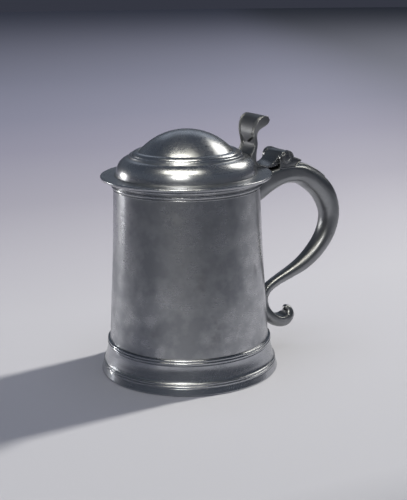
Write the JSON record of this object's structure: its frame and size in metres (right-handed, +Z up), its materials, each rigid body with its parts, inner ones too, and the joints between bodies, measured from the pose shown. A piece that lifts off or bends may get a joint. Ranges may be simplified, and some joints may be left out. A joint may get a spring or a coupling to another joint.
{
  "type": "lidded tankard",
  "caption": "Tapered drinking tankard with a hinged domed lid, scroll thumbpiece and hollow scroll handle.",
  "frame": {"origin": "on the drum's axis, in the plane the foot rests on", "axes": "+Z up along the drum's axis, +X towards the handle, hinge pin along Y"},
  "size_m": [0.1878, 0.125, 0.1755],
  "materials": {
    "pewter_turned": "turned and burnished pewter with an even grey patina",
    "pewter_cast": "cast pewter with a darker oxidised skin",
    "iron_rod": "dull drawn iron"
  },
  "bodies": {
    "tankard": {"drum": "pewter_turned", "base_moulding": "pewter_turned", "bottom_plate": "pewter_turned", "hinge_ear_near": "pewter_cast", "hinge_ear_far": "pewter_cast", "hinge_pin": "iron_rod", "pin_cap_near": "pewter_cast", "pin_cap_far": "pewter_cast", "handle": "pewter_cast", "handle_tongue": "pewter_cast", "handle_terminal": "pewter_cast", "lower_lug": "pewter_cast"},
    "lid": {"lid": "pewter_turned", "lid_bezel": "pewter_turned", "lid_lug": "pewter_cast", "thumbpiece": "pewter_cast"}
  },
  "joints": [
    {"name": "lid_hinge", "type": "hinge", "parent": "tankard", "child": "lid", "pos_m": [0.0734, 0, 0.1446], "axis": [0, 1, 0], "range_deg": [0, 135]}
  ]
}
